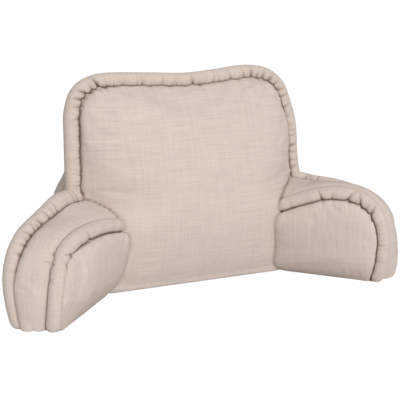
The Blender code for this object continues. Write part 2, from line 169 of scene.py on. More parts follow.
# On the right the band is drawn in: share lost, and the height and run of the lower and the upper end
DRAWN_SHARE = 0.7
DRAWN_LOW, DRAWN_LOW_RUN = 0.090, 0.04
DRAWN_HIGH, DRAWN_HIGH_RUN = 0.230, 0.03
BACK_CORD_ROWS = (
    # x, z
    (-0.21, 0.173), (-0.208, 0.22), (-0.206, 0.27), (-0.2035, 0.308), (-0.191, 0.339),
    (-0.164, 0.355), (-0.126, 0.3585), (-0.058, 0.356), (0.0, 0.3535), (0.05, 0.3565),
    (0.1, 0.3615), (0.132, 0.3615), (0.162, 0.355), (0.1845, 0.336), (0.1955, 0.307),
    (0.204, 0.275), (0.206, 0.239), (0.206, 0.208), (0.21, 0.173),
)
# How much thicker or thinner than usual the cord is: place along it, share of the radius
BACK_CORD_SWELL = ((0.18, 1.0), (0.25, 0.92), (0.44, 0.92), (0.50, 1.0))
BACK_SIDE_ROWS = (
    # x, z
    (0.2085, 0.11), (0.203, 0.05), (0.199, 0.016), (0.186, 0.0),
)
BACK_PROFILE = (
    # z, front crown, y of the rear edge, rear crown
    (0.0, 0.022, 0.106, 0.012), (0.02, 0.046, 0.116, 0.02), (0.05, 0.064, 0.128, 0.027),
    (0.11, 0.07, 0.137, 0.028), (0.17, 0.063, 0.134, 0.027), (0.23, 0.052, 0.12, 0.026),
    (0.29, 0.041, 0.104, 0.022), (0.335, 0.032, 0.095, 0.016), (0.37, 0.026, 0.091, 0.012),
)
SIDE_SLACK = (
    # z, slack of the front panel beside the arms
    (0.0, 0.1), (0.1, 0.15), (0.125, 0.3), (0.15, 1.15), (0.18, 1.15), (0.26, 0.0),
)
SLACK_LEFT, SLACK_RIGHT = 1.2, 0.55
# Gathers drawn into the cord's cover: place along it, share of the radius lost, half length, slant
BACK_GATHERS = (
    (0.06, 0.06, 0.005, 0.002), (0.098, 0.08, 0.005, -0.002), (0.127, 0.12, 0.005, 0.004),
    (0.148, 0.22, 0.004, 0.003), (0.163, 0.3, 0.004, 0.004), (0.178, 0.34, 0.004, 0.006),
    (0.192, 0.2, 0.003, 0.002), (0.206, 0.5, 0.004, 0.004), (0.222, 0.12, 0.003, 0.002),
    (0.252, 0.07, 0.005, -0.002), (0.286, 0.14, 0.005, 0.001), (0.323, 0.14, 0.005, -0.001),
    (0.35, 0.07, 0.005, 0.002), (0.38, 0.3, 0.005, 0.001), (0.42, 0.08, 0.005, -0.002),
    (0.454, 0.14, 0.005, 0.002), (0.481, 0.16, 0.004, 0.002), (0.496, 0.36, 0.005, 0.001),
    (0.507, 0.22, 0.004, -0.002), (0.519, 0.3, 0.004, -0.002), (0.535, 0.34, 0.005, -0.003),
    (0.55, 0.24, 0.004, -0.002), (0.564, 0.24, 0.004, -0.003), (0.58, 0.2, 0.004, 0.002),
    (0.6, 0.22, 0.005, 0.002), (0.618, 0.12, 0.004, -0.002), (0.635, 0.1, 0.004, 0.002),
    (0.655, 0.1, 0.004, 0.001), (0.673, 0.32, 0.004, 0.002), (0.684, 0.22, 0.004, -0.002),
    (0.699, 0.18, 0.004, -0.002), (0.714, 0.2, 0.004, 0.002),
)
# The seams' own troughs in the front and the rear panel: place along the seam, depth
BACK_TROUGH = ((0.18, 0.0027), (0.24, 0.0014), (0.48, 0.0014), (0.56, 0.0026))
REAR_TROUGH = ((0.0, 0.0015),)
BACK_PINCH_REACH = 0.009
# A seam is a trough and a line of painted shade this wide, and its painted shade is full where the trough is
# this deep
TROUGH_WIDTH, SEAM_WIDTH, FULL_TROUGH = 0.003, 0.001, 0.0025
# The short creases that run into a panel from the gathers: depth, half width, painted shade and its reach
PINCH_DEPTH, PINCH_WIDTH, PINCH_SHADE, PINCH_SHADE_REACH = 0.010, 0.0022, 2.0, 0.004
# The simulation: its length, its cloth, the height below which all is held, and where moves are full
FILL_FRAMES = 20
FILL_CLOTH = {
    "quality": 5, "mass": 0.3, "tension_stiffness": 15.0, "compression_stiffness": 12.0,
    "shear_stiffness": 5.0, "bending_stiffness": 0.6, "use_pressure": True,
}
RESTING_Z = 0.004
FREE_Z = 0.045
BACK_SEAM_STATIONS = 400
# Where the rear panel's and the band's cloth lies in the cloth coordinates, clear of the front's
REAR_CLOTH = (1.0, 0.0)
BAND_CLOTH = 0.7
YARN = (0.620, 0.525, 0.461)
# What the full painted shade of the seams and creases takes off the yarn's colour
PAINTED_SHADE_LOSS = (-0.62, -0.70, -0.76)
# The weave's noise, in cells per metre: slubs along and across their yarn, mottle, wander of threads
SLUB_LONG, SLUB_FINE, MOTTLE_CELLS, WANDER_CELLS = 16.0, 460.0, 70.0, 180.0
THREAD_RATE, THREAD_WANDER = 5200.0, 5.0
# How much slubs, mottle and threads lighten or darken the yarn
SLUB_LIGHT, MOTTLE_LIGHT, THREAD_LIGHT = 0.32, 0.06, 0.035


def smooth_path(rows, count):
    """Even points along the Catmull-Rom curve through the rows."""
    rows = np.asarray(rows, float)
    ends = np.vstack([2 * rows[0] - rows[1], rows, 2 * rows[-1] - rows[-2]])
    t = np.linspace(0.0, 1.0, 40, endpoint=False)[:, None]
    spans = []
    for a, b, c, d in zip(ends, ends[1:], ends[2:], ends[3:]):
        spans.append(0.5 * (2 * b + (c - a) * t + (2 * a - 5 * b + 4 * c - d) * t**2
                            + (3 * b - 3 * c + d - a) * t**3))
    fine = np.vstack([*spans, rows[-1:]])
    length = arc_lengths(fine)
    even = np.linspace(0.0, length[-1], count)
    return np.column_stack([np.interp(even, length, fine[:, k]) for k in range(rows.shape[1])])


def arc_lengths(points):
    """Distance along the points from the first."""
    return np.concatenate([[0.0], np.cumsum(np.linalg.norm(np.diff(points, axis=0), axis=1))])


def unit(vectors):
    """The vectors at length one."""
    return vectors / np.linalg.norm(vectors, axis=-1, keepdims=True)


def smooth_step(x):
    """0 below 0, 1 above 1, with 3x^2 - 2x^3 between."""
    x = np.clip(x, 0.0, 1.0)
    return x * x * (3 - 2 * x)


def pillow(across, up, slack=0.0, fall=2.5):
    """Crown of a stuffed panel: (1 - |2u - 1|^flatness)^steepness at its sides and top, and
    1 - (1 - 2v)^fall towards its foot. Slack makes the sides easy."""
    flatness = 4.0 - 1.4 * slack
    steepness = 0.55 + 0.3 * slack
    sides = np.clip(1 - np.abs(2 * across - 1) ** flatness, 0.0, 1.0) ** steepness
    above = np.clip(1 - np.abs(2 * up - 1) ** 4, 0.0, 1.0) ** 0.55
    below = 1 - np.clip(1 - 2 * up, 0.0, 1.0) ** fall
    return sides * np.where(up > 0.5, above, below)


def ring_points(middle, outward, across, radius, turns):
    """Points around a path, (stations, turns, 3): middle + radius * (cos(turn) * outward
    - sin(turn) * across)."""
    turns = np.broadcast_to(turns, (len(middle), np.shape(turns)[-1]))
    spoke = (np.cos(turns)[..., None] * outward[:, None, :]
             - np.sin(turns)[..., None] * across[:, None, :])
    return middle[:, None, :] + np.broadcast_to(radius, turns.shape)[..., None] * spoke


def at_turn(rows, degrees):
    """Gather rows with the turn of the seam that they start from."""
    return np.column_stack([rows, np.full(len(rows), np.radians(degrees))])


def gathered(along, turns, gathers, puckers, seed):
    """Share of the full radius, (stations, turns). A gather takes depth * w * (1.1 exp(-2 |s| / h)
    + 0.25 exp(-(s / 2h)^2)): a sharp crease in a shallow dip. s is the distance along the cord from
    a line that slants with the turn, and h the half length. The weight w is
    0.03 + 0.97 ((1 + cos(turn - seam's turn)) / 2)^(4.6 - 6 depth), the power kept from 1.5 to 4, so
    that deep gathers reach further round. Fine puckers at even random places are up to the depth
    puckers, from the seam of the nearest gather. Also gives the sum of depth * w * exp(-2 |s| / h),
    for the shade painted into the creases."""
    random = np.random.default_rng(seed)
    count = int(along[-1] / PUCKER_STEP)
    places = (np.arange(count) + random.uniform(0.0, 1.0, count)) * along[-1] / count
    nearest = np.abs(places[:, None] - gathers[None, :, 0]).argmin(axis=1)
    depths = random.uniform(0.2, 1.0, count) * puckers
    lengths = random.uniform(0.0022, 0.0036, count)
    slants = random.uniform(-0.007, 0.007, count)
    fine = np.column_stack([places, depths, lengths, slants, gathers[nearest, 4]])
    share = np.ones(np.broadcast_shapes((len(along), 1), np.shape(turns)))
    crease = np.zeros(share.shape)
    for place, depth, h, slant, deepest in np.vstack([gathers, fine]):
        power = np.clip(4.6 - 6 * depth, 1.5, 4.0)
        weight = 0.03 + 0.97 * (0.5 + 0.5 * np.cos(turns - deepest)) ** power
        s = np.abs(along[:, None] - place - slant * (turns - deepest))
        sharp = np.exp(-2 * s / h)
        share = share - depth * weight * (1.1 * sharp + 0.25 * np.exp(-((s / (2 * h)) ** 2)))
        crease = crease + depth * weight * sharp
    return np.maximum(share, LEAST_SHARE), crease


def edge_order(columns, rows):
    """Grid places (column, row) once around a panel: up the left, over the top, down the right and
    back along the foot, (places, 2)."""
    i, j = np.arange(columns), np.arange(rows)
    left = np.column_stack([0 * j, j])
    top = np.column_stack([i, 0 * i + rows])
    right = np.column_stack([0 * j + columns, rows - j])
    foot = np.column_stack([columns - i, 0 * i])
    return np.vstack([left, top, right, foot])


def panel_grid(edge, drawn, columns, rows):
    """Coons patch inside an edge loop: the two straight blends between opposite edges, less the
    blend of the four corners. How far the gathers draw the edge in is then added, times
    exp(-steps from the edge / 1.3). (columns+1, rows+1, 3)."""
    grid = np.zeros((columns + 1, rows + 1, 3))
    order = edge_order(columns, rows)
    grid[order[:, 0], order[:, 1]] = edge
    u = np.linspace(0, 1, columns + 1)[:, None, None]
    v = np.linspace(0, 1, rows + 1)[None, :, None]
    sides = (1 - u) * grid[:1, :] + u * grid[-1:, :]
    ends = (1 - v) * grid[:, :1] + v * grid[:, -1:]
    corners = ((1 - u) * (1 - v) * grid[0, 0] + u * (1 - v) * grid[-1, 0]
               + (1 - u) * v * grid[0, -1] + u * v * grid[-1, -1])
    patch = sides + ends - corners
    for steps in range(6):
        inward = np.clip(order, steps, np.array([columns, rows]) - steps)
        fade = np.exp(-steps / 1.3)
        patch[inward[:, 0], inward[:, 1]] += (drawn - edge) * fade
    return patch


def put_piece(name, points, patches, material, lids=()):
    """A closed mesh from patches of point numbers, each with a grid of cloth coordinates in metres,
    and from flat lids."""
    quads, corner_uvs = [], []
    for index, cloth in patches:
        corners = (np.s_[:-1, :-1], np.s_[1:, :-1], np.s_[1:, 1:], np.s_[:-1, 1:])
        quads.append(np.stack([index[c] for c in corners], axis=-1).reshape(-1, 4))
        corner_uvs.append(np.stack([cloth[c] for c in corners], axis=-2).reshape(-1, 2))
    faces = np.vstack(quads).tolist()
    for lid in lids:
        faces.append(list(lid))
        corner_uvs.append(points[list(lid)][:, :2])
    mesh = bpy.data.meshes.new(name)
    above_floor = np.column_stack([points[:, :2], np.maximum(points[:, 2], 0.0)])
    mesh.from_pydata((above_floor + np.array(FRAME_SHIFT)).tolist(), [], faces)
    layer = mesh.uv_layers.new(name="cloth")
    layer.data.foreach_set("uv", np.vstack(corner_uvs).astype(np.float32).ravel())
    work = bmesh.new()
    work.from_mesh(mesh)
    bmesh.ops.recalc_face_normals(work, faces=work.faces)
    work.to_mesh(mesh)
    work.free()
    mesh.shade_smooth()
    mesh.materials.append(material)
    piece = bpy.data.objects.new(name, mesh)
    scene.collection.objects.link(piece)
    return piece


def cushion_patches(columns, rows, rings, front_cloth, rear_cloth, band_cloth):
    """Point numbers and cloth coordinates of a front grid, a rear grid and the rings between."""
    order = edge_order(columns, rows)
    grid = np.arange((columns + 1) * (rows + 1)).reshape(columns + 1, rows + 1)
    rear = grid + grid.size
    around = len(order)
    ring_index = 2 * grid.size + np.arange(rings * around).reshape(rings, around)
    edges = grid[order[:, 0], order[:, 1]], rear[order[:, 0], order[:, 1]]
    band = np.vstack([edges[0], ring_index, edges[1]]).T
    band = np.vstack([band, band[:1]])
    return [(grid, front_cloth), (rear, rear_cloth), (band, band_cloth)]


def band_places(rings, ring, offset):
    """Cloth coordinates of a band from its rings: the distance along the numbered ring, and the
    distance across from the first ring plus the offset."""
    along = np.repeat(arc_lengths(rings[:, ring])[:, None], rings.shape[1], axis=1)
    steps = np.cumsum(np.linalg.norm(np.diff(rings, axis=1), axis=2), axis=1)
    across = np.concatenate([np.zeros((len(rings), 1)), steps], axis=1)
    return np.stack([along, across + offset], axis=-1)


def panel_edges(columns, rows):
    """Point numbers around the edges of the front and the rear grid."""
    order = edge_order(columns, rows)
    front = order[:, 0] * (rows + 1) + order[:, 1]
    return np.concatenate([front, front + (columns + 1) * (rows + 1)])


def read_points(mesh):
    """All vertex places, (vertices, 3)."""
    flat = np.empty(len(mesh.vertices) * 3)
    mesh.vertices.foreach_get("co", flat)
    return flat.reshape(-1, 3)


def fill_cover(piece, held, pressure, slack, limit):
    """Cloth simulation of the cover being filled: the fibre presses outward, the cloth is cut a
    little too large, and the held points, which are sewn, don't move. A point's move m fades in from
    the floor up to FREE_Z and is shortened to limit * tanh(m / limit)."""
    before = read_points(piece.data)
    group = piece.vertex_groups.new(name="sewn")
    group.add(held.tolist(), 1.0, "REPLACE")
    cloth = piece.modifiers.new("filling", "CLOTH")
    for name, value in FILL_CLOTH.items():
        setattr(cloth.settings, name, value)
    cloth.settings.uniform_pressure_force = pressure
    cloth.settings.shrink_min = -slack
    cloth.settings.vertex_group_mass = "sewn"
    cloth.settings.effector_weights.gravity = 0.0
    cloth.collision_settings.use_collision = False
    cloth.collision_settings.use_self_collision = False
    cloth.point_cache.frame_start = 1
    cloth.point_cache.frame_end = FILL_FRAMES
    for step in range(FILL_FRAMES):
        scene.frame_set(step + 1)
    filled = piece.evaluated_get(bpy.context.evaluated_depsgraph_get())
    move = read_points(filled.data) - before
    piece.modifiers.remove(cloth)
    piece.vertex_groups.remove(group)
    scene.frame_set(1)
    move *= smooth_step(before[:, 2:] / FREE_Z)
    size = np.maximum(np.linalg.norm(move, axis=1, keepdims=True), 1e-9)
    after = before + move / size * limit * np.tanh(size / limit)
    piece.data.vertices.foreach_set("co", after.ravel())
    piece.data.update()


def subdivided(piece):
    """One Catmull-Clark step, applied."""
    step = piece.modifiers.new("smooth", "SUBSURF")
    step.levels = step.render_levels = 1
    made = bpy.data.meshes.new_from_object(piece.evaluated_get(bpy.context.evaluated_depsgraph_get()))
    piece.modifiers.remove(step)
    old = piece.data
    piece.data = made
    bpy.data.meshes.remove(old)
    made.name = piece.name


def press_in(piece, depth):
    """Moves each vertex inward along its normal by its depth."""
    mesh = piece.data
    normal = np.empty(len(mesh.vertices) * 3, np.float32)
    mesh.vertex_normals.foreach_get("vector", normal)
    points = read_points(mesh) - normal.reshape(-1, 3) * depth[:, None]
    points[:, 2] = np.maximum(points[:, 2], 0.0)
    mesh.vertices.foreach_set("co", points.ravel())
    mesh.update()


def along_line(flat, x0, z0, x1, z1):
    """For flat places, the share of the line's length at the nearest point on it, and the distance."""
    start = np.array([x0, z0])
    run = np.array([x1 - x0, z1 - z0])
    share = np.clip((flat - start) @ run / (run @ run), 0.0, 1.0)
    return share, np.linalg.norm(flat - start - share[:, None] * run, axis=1)


def fold_depth(flat, rows):
    """Depth of the folds at flat places. A fold runs from one point to another and fades to nothing
    at the second. Its section is depth * (exp(-d / width) - 0.35 exp(-((d - 2.4 width) / width)^2)),
    d being the distance from its line."""
    total = np.zeros(len(flat))
    for *line, depth, width in rows:
        share, d = along_line(flat, *line)
        section = np.exp(-d / width) - 0.35 * np.exp(-(((d - 2.4 * width) / width) ** 2))
        total += depth * (1 - share) ** 0.7 * section
    return total


def trough_depth(flat, rows):
    """Depth of soft troughs between two points: depth * exp(-(d / width)^2)."""
    total = np.zeros(len(flat))
    for *line, depth, width in rows:
        total += depth * np.exp(-((along_line(flat, *line)[1] / width) ** 2))
    return total


def add_shade(piece, shade):
    """Adds to the seam shade of each vertex, 0 to 1, a painted shade that the cloth materials read as an
    attribute and take off the yarn's colour.
    """
    data = piece.data
    layer = data.attributes.get("seam") or data.attributes.new("seam", "FLOAT", "POINT")
    before = np.zeros(len(data.vertices), np.float32)
    layer.data.foreach_get("value", before)
    layer.data.foreach_set("value", np.clip(before + shade, 0.0, 1.0).astype(np.float32))


def seam_strength(trough, s):
    """How strongly a seam's painted shade darkens it, 0 to 1, from the depth of its trough at places along
    it.
    """
    return np.clip(np.interp(s, *np.transpose(trough)) / FULL_TROUGH, 0.0, 1.0)


def pinched_seam(places, seam, gathers, trough, reach):
    """Depth and painted shade of a gathered seam in a panel. The depth is its trough, depth *
    exp(-d / TROUGH_WIDTH), and the short creases that run into the panel from its gathers, each
    PINCH_DEPTH * drawn * exp(-|s - place| / PINCH_WIDTH) * exp(-d / reach). The painted shade falls off as
    exp(-d / SEAM_WIDTH), and in the creases as exp(-d / PINCH_SHADE_REACH). d is the distance from
    the seam and s the distance along it."""
    along = arc_lengths(seam)
    coarse = ((places[:, None, :] - seam[None, ::12]) ** 2).sum(axis=2).min(axis=1)
    near = np.flatnonzero(coarse < (5 * reach) ** 2)
    gap = np.sqrt(((places[near, None, :] - seam[None]) ** 2).sum(axis=2))
    nearest = gap.argmin(axis=1)
    d = gap[np.arange(len(near)), nearest]
    s = along[nearest]
    depth = np.interp(s, *np.transpose(trough)) * np.exp(-d / TROUGH_WIDTH)
    shade = seam_strength(trough, s) * np.exp(-d / SEAM_WIDTH)
    for place, drawn, *_ in gathers:
        crease = drawn * np.exp(-np.abs(s - place) / PINCH_WIDTH)
        depth += PINCH_DEPTH * crease * np.exp(-d / reach)
        shade += PINCH_SHADE * crease * np.exp(-d / PINCH_SHADE_REACH)
    result = np.zeros((2, len(places)))
    result[:, near] = depth, shade
    return result


def slub_weave_group():
    """Linen-look weave: fine threads both ways, crossed by slubs, which are thicker and thinner
    lengths of yarn that run along U and along V. Cloth coordinates are in metres. The third input is
    painted shade, 0 to 1, which darkens the yarn in the seams and creases."""
    group = bpy.data.node_groups.new("slub_weave", "ShaderNodeTree")
    for name, kind in (("Cloth", "NodeSocketVector"), ("Yarn", "NodeSocketColor"),
                       ("Seam", "NodeSocketFloat"), ("Slubs along", "NodeSocketFloat"),
                       ("Slubs across", "NodeSocketFloat")):
        group.interface.new_socket(name, in_out="INPUT", socket_type=kind)
    for name, kind in (("Color", "NodeSocketColor"), ("Roughness", "NodeSocketFloat"),
                       ("Height", "NodeSocketFloat")):
        group.interface.new_socket(name, in_out="OUTPUT", socket_type=kind)
    given = group.nodes.new("NodeGroupInput").outputs
    result = group.nodes.new("NodeGroupOutput").inputs

    def calc(operation, *sources):
        return maths(group, operation, *sources)

    def vector_calc(operation, *sources):
        inputs = dict(enumerate(sources))
        return node(group, "ShaderNodeVectorMath", inputs, operation=operation).outputs[0]

    def streaks(cells_u, cells_v, detail, seed):
        place = vector_calc("MULTIPLY", given["Cloth"], (cells_u, cells_v, 0.0))
        place = vector_calc("ADD", place, (seed, seed, seed))
        noise = node(group, "ShaderNodeTexNoise", {"Vector": place, "Scale": 1.0, "Detail": detail,
                                                   "Roughness": 0.55})
        return calc("SUBTRACT", noise.outputs[0], 0.5)

    along = streaks(SLUB_LONG, SLUB_FINE, 2.0, 3.1)
    across = streaks(SLUB_FINE, SLUB_LONG, 2.0, 7.7)
    mottle = streaks(MOTTLE_CELLS, MOTTLE_CELLS, 3.0, 12.3)
    wander = calc("MULTIPLY", streaks(WANDER_CELLS, WANDER_CELLS, 1.0, 21.9), THREAD_WANDER)
    split = node(group, "ShaderNodeSeparateXYZ", {0: given["Cloth"]}).outputs
    threads = [calc("SINE", calc("ADD", calc("MULTIPLY", split[axis], THREAD_RATE), wander))
               for axis in (0, 1)]
    weave = calc("MULTIPLY", *threads)
    slubs = calc("ADD", calc("MULTIPLY", along, given["Slubs along"]),
                 calc("MULTIPLY", across, given["Slubs across"]))
    fine = calc("ADD", calc("MULTIPLY", mottle, MOTTLE_LIGHT), calc("MULTIPLY", weave, THREAD_LIGHT))
    light = calc("ADD", calc("ADD", calc("MULTIPLY", slubs, SLUB_LIGHT), fine), 1.0)
    lit = node(group, "ShaderNodeVectorMath", {0: given["Yarn"], "Scale": light}, operation="SCALE")
    # The yarn is darkened by the painted shade in the seams and creases
    left = vector_calc("MULTIPLY_ADD", given["Seam"], PAINTED_SHADE_LOSS, (1.0, 1.0, 1.0))
    group.links.new(vector_calc("MULTIPLY", lit.outputs[0], left), result["Color"])
    group.links.new(calc("SUBTRACT", 0.90, calc("MULTIPLY", slubs, 0.15)), result["Roughness"])
    group.links.new(calc("ADD", slubs, calc("MULTIPLY", weave, 0.35)), result["Height"])
    return group


def cloth_material(name, along, across):
    """Matt slub weave in the piece's own cloth coordinates, with the slubs' strength both ways,
    darkened by the painted shade of the seams and creases that the piece's seam attribute holds.
    """
    material = bpy.data.materials.new(name)
    material.use_nodes = True
    tree = material.node_tree
    shader = tree.nodes["Principled BSDF"]
    place = node(tree, "ShaderNodeUVMap", uv_map="cloth")
    weave = node(tree, "ShaderNodeGroup", node_tree=slub_weave)
    tree.links.new(place.outputs[0], weave.inputs["Cloth"])
    # The seam attribute holds painted shade along the seams and in the creases
    seam = node(tree, "ShaderNodeAttribute", attribute_name="seam")
    tree.links.new(seam.outputs["Fac"], weave.inputs["Seam"])
    weave.inputs["Yarn"].default_value = (*YARN, 1.0)
    weave.inputs["Slubs along"].default_value = along
    weave.inputs["Slubs across"].default_value = across
    bump = node(tree, "ShaderNodeBump", {"Height": weave.outputs["Height"], "Strength": 0.6,
                                         "Distance": 0.0006})
    tree.links.new(weave.outputs["Color"], shader.inputs["Base Color"])
    tree.links.new(weave.outputs["Roughness"], shader.inputs["Roughness"])
    tree.links.new(bump.outputs[0], shader.inputs["Normal"])
    shader.inputs["Specular IOR Level"].default_value = 0.25
    shader.inputs["Sheen Weight"].default_value = 0.12
    shader.inputs["Sheen Roughness"].default_value = 0.6
    return material


def edge_y(z):
    """Depth of the back's leaning edge at a height."""
    return BACK_EDGE_Y + BACK_LEAN * z


def back_profile(z, column):
    """One column of the side view's table at each height."""
    table = smooth_path(BACK_PROFILE, count=60)
    return np.interp(z, table[:, 0], table[:, column])


def back_cord_path(count):
    """Middle line of the cord around the back, with its outward and across directions."""
    flat = smooth_path(BACK_CORD_ROWS, count)
    middle = np.column_stack([flat[:, 0], edge_y(flat[:, 1]), flat[:, 1]])
    tangent = unit(np.gradient(middle, axis=0))
    across = unit(np.array([0.0, 1.0, 0.0]) - tangent[:, 1:2] * tangent)
    return middle, np.cross(tangent, across), across


def back_radius(middle):
    """Radius of the back's cord at each point of its middle line."""
    return BACK_CORD_RADIUS * np.interp(arc_lengths(middle), *np.transpose(BACK_CORD_SWELL))[:, None]


slub_weave = slub_weave_group()
back_cloth = cloth_material("back_cloth", 1.0, 0.6)

# One loop around the back from the left foot corner: left side, cord, right side, base
middle, outward, across = back_cord_path(2 * (BACK_ROWS - BACK_LOW) + BACK_COLUMNS + 1)
back_gathers = at_turn(BACK_GATHERS, 120.0)
shares, _ = gathered(arc_lengths(middle), GROOVE_TURNS[None, :], back_gathers, BACK_PUCKERS, seed=11)
groove = ring_points(middle, outward, across, back_radius(middle) * shares + GAP, GROOVE_TURNS)
smooth_seam = ring_points(middle, outward, across, back_radius(middle) + GAP, GROOVE_TURNS[:1])[:, 0]
around = 2 * (BACK_COLUMNS + BACK_ROWS)
ends = middle[:, [0, 2]]
side_rows = np.array(BACK_SIDE_ROWS)
right_low = smooth_path(np.vstack([ends[-1], side_rows]), BACK_LOW + 1)[1:]
left_low = smooth_path(np.vstack([side_rows[::-1] * (-1, 1), ends[0]]), BACK_LOW + 1)[:-1]
base_x = np.linspace(right_low[-1, 0], left_low[0, 0], BACK_COLUMNS + 1)[1:-1]
flat = np.vstack([left_low, ends, right_low, np.column_stack([base_x, 0 * base_x])])
cord_part = slice(BACK_LOW, BACK_LOW + len(middle))
turn = np.roll(flat, -1, axis=0) - np.roll(flat, 1, axis=0)
normal = unit(np.column_stack([-turn[:, 1], np.zeros(around), turn[:, 0]]))
normal[cord_part] = outward
z = flat[:, 1]
on_floor = z < 1e-6
loops = []
for place, angle in enumerate(GROOVE_TURNS):
    loop = np.column_stack([flat[:, 0], edge_y(z) - (BACK_CORD_RADIUS + GAP) * np.sin(angle), z])
    loop -= normal * (BACK_CORD_RADIUS + GAP) * EDGE_INSET * (~on_floor)[:, None]
    if place == 0:
        loop[on_floor, 2] = BASE_LIFT
    else:
        loop[on_floor, 1] += BASE_SHIFTS[place - 1]
    loop[cord_part] = groove[:, place]
    loops.append(loop)
front_edge = loops.pop(0)
rear_seam = loops[-1]
rear_y = back_profile(z, 2)
narrowing = smooth_step((z - FLARE_Z[0]) / (FLARE_Z[1] - FLARE_Z[0]))
spread = BAND_FLARE + (BAND_TAPER - BAND_FLARE) * narrowing
deep = np.clip((rear_y - rear_seam[:, 1]) / FULL_BAND, BAND_LEAST, 1.0)
drawn_in = smooth_step((z - DRAWN_LOW) / DRAWN_LOW_RUN) * smooth_step((DRAWN_HIGH - z) / DRAWN_HIGH_RUN)
drawn_in = 1 - DRAWN_SHARE * (flat[:, 0] > 0) * drawn_in
deep *= drawn_in
spread *= drawn_in
for t in np.arange(1, BACK_BAND + 1) / BACK_BAND:
    bulge = BAND_BULGE * np.sin(np.pi * t) * (1 - BAND_SKEW * t) + spread * t
    loop = rear_seam + normal * (bulge * deep * ~on_floor)[:, None]
    loop[:, 1] = rear_seam[:, 1] + (rear_y - rear_seam[:, 1]) * t
    loop[:, 2] = np.where(on_floor, 0.0, np.maximum(loop[:, 2], 0.0))
    loops.append(loop)
rear_edge = loops.pop()
smooth_edge = front_edge.copy()
smooth_edge[cord_part] = smooth_seam
front = panel_grid(smooth_edge, front_edge, BACK_COLUMNS, BACK_ROWS)
rear = panel_grid(rear_edge, rear_edge, BACK_COLUMNS, BACK_ROWS)
front_cloth = front[:, :, [0, 2]].copy()
rear_cloth = rear[:, :, [0, 2]] + REAR_CLOTH
u = np.linspace(0, 1, BACK_COLUMNS + 1)[:, None]
v = np.linspace(0, 1, BACK_ROWS + 1)[None, :]
slack = np.interp(front[:, :, 2], *np.transpose(SIDE_SLACK))
slack *= SLACK_LEFT + (SLACK_RIGHT - SLACK_LEFT) * u
front[:, :, 1] -= back_profile(front[:, :, 2], 1) * pillow(u, v, slack)
rear[:, :, 1] += back_profile(rear[:, :, 2], 3) * pillow(u, v)
band_rings = np.stack([front_edge, *loops, rear_edge], axis=1)
band_rings = np.vstack([band_rings, band_rings[:1]])
band_cloth = band_places(band_rings, 0, BAND_CLOTH)
points = np.vstack([front.reshape(-1, 3), rear.reshape(-1, 3), *loops])
back_cushion = put_piece("back_cushion_cover", points, cushion_patches(
    BACK_COLUMNS, BACK_ROWS, len(loops), front_cloth, rear_cloth, band_cloth), back_cloth)
grooved = 2 * (BACK_COLUMNS + 1) * (BACK_ROWS + 1) + np.arange((len(GROOVE_TURNS) - 1) * around)
resting = np.flatnonzero(points[:, 2] < RESTING_Z)
held = np.unique(np.concatenate([panel_edges(BACK_COLUMNS, BACK_ROWS), grooved, resting]))
fill_cover(back_cushion, held, pressure=3.0, slack=0.013, limit=0.009)
subdivided(back_cushion)

# Folds of the front panel: from x, z to x, z, depth, width
FRONT_FOLDS = (
    (-0.19, 0.172, -0.14, 0.155, 0.0012, 0.005), (0.196, 0.178, 0.166, 0.172, 0.005, 0.003),
    (0.194, 0.172, 0.158, 0.155, 0.005, 0.003), (0.188, 0.164, 0.168, 0.136, 0.004, 0.003),
)
# Soft troughs where the arms are sewn on: from x, z to x, z, depth, width
FRONT_TROUGHS = ((-0.188, 0.168, -0.168, 0.154, 0.003, 0.012),)
places = read_points(back_cushion.data) - np.array(FRAME_SHIFT)
in_front = places[:, 1] < edge_y(places[:, 2])
path = back_cord_path(BACK_SEAM_STATIONS)
seam = ring_points(*path, back_radius(path[0]), GROOVE_TURNS[:1])[:, 0]
pinch, shade = pinched_seam(places, seam, BACK_GATHERS, BACK_TROUGH, BACK_PINCH_REACH)
folds = fold_depth(places[:, [0, 2]], FRONT_FOLDS) + trough_depth(places[:, [0, 2]], FRONT_TROUGHS)
rear_pinch, rear_shade = pinched_seam(places, rear_edge, (), REAR_TROUGH, BACK_PINCH_REACH)
press_in(back_cushion, (folds + pinch) * in_front + rear_pinch)
# Painted shade along the front panel's and the rear panel's seams and in their creases
add_shade(back_cushion, shade + rear_shade)
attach(back_cushion, "root")
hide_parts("back_cushion")


# Cord around the back.
# A tube of the same cloth, cut too long and gathered over a fat round filler, then sewn in between the
# front panel and the band from one arm over the top to the other.

CORD_SIDES = 48
CORD_STATIONS = 700
CORD_GIRTH = 0.094
# How strongly the cords' creases are darkened with painted shade
CREASE_SHADE = 2.2

cord_cloth = cloth_material("cord_cloth", 1.0, 0.35)


def cord_piece(name, rings, material):
    """A closed tube from rings of points, (stations, sides, 3), with cloth coordinates around and
    along it."""
    stations, sides = rings.shape[:2]
    index = np.arange(stations * sides).reshape(stations, sides)
    index = np.column_stack([index, index[:, :1]])
    along = arc_lengths(rings.mean(axis=1))
    turn = np.linspace(0.0, CORD_GIRTH, sides + 1)
    cloth = np.stack(np.broadcast_arrays(turn[None, :], along[:, None]), axis=-1)
    lids = (range(sides), range((stations - 1) * sides, stations * sides))
    return put_piece(name, rings.reshape(-1, 3), [(index, cloth)], material, lids)


def line_shade(along, turns, seam_turn, radius, trough, way):
    """Painted shade of a seam's line on a cord, (stations, turns): the seam's strength * exp(-d /
    SEAM_WIDTH), d being the distance around the cord from the seam, and full for one radian on the hidden
    side.
    Way is 1 for a panel's seam, whose hidden side has the larger turns, and -1 for a strip's."""
    out = ((seam_turn[:, None] - turns[None, :]) * way + np.pi) % (2 * np.pi) - np.pi
    apart = np.where(out > -1.0, np.maximum(out, 0.0), np.pi)
    return seam_strength(trough, along)[:, None] * np.exp(-apart * radius / SEAM_WIDTH)


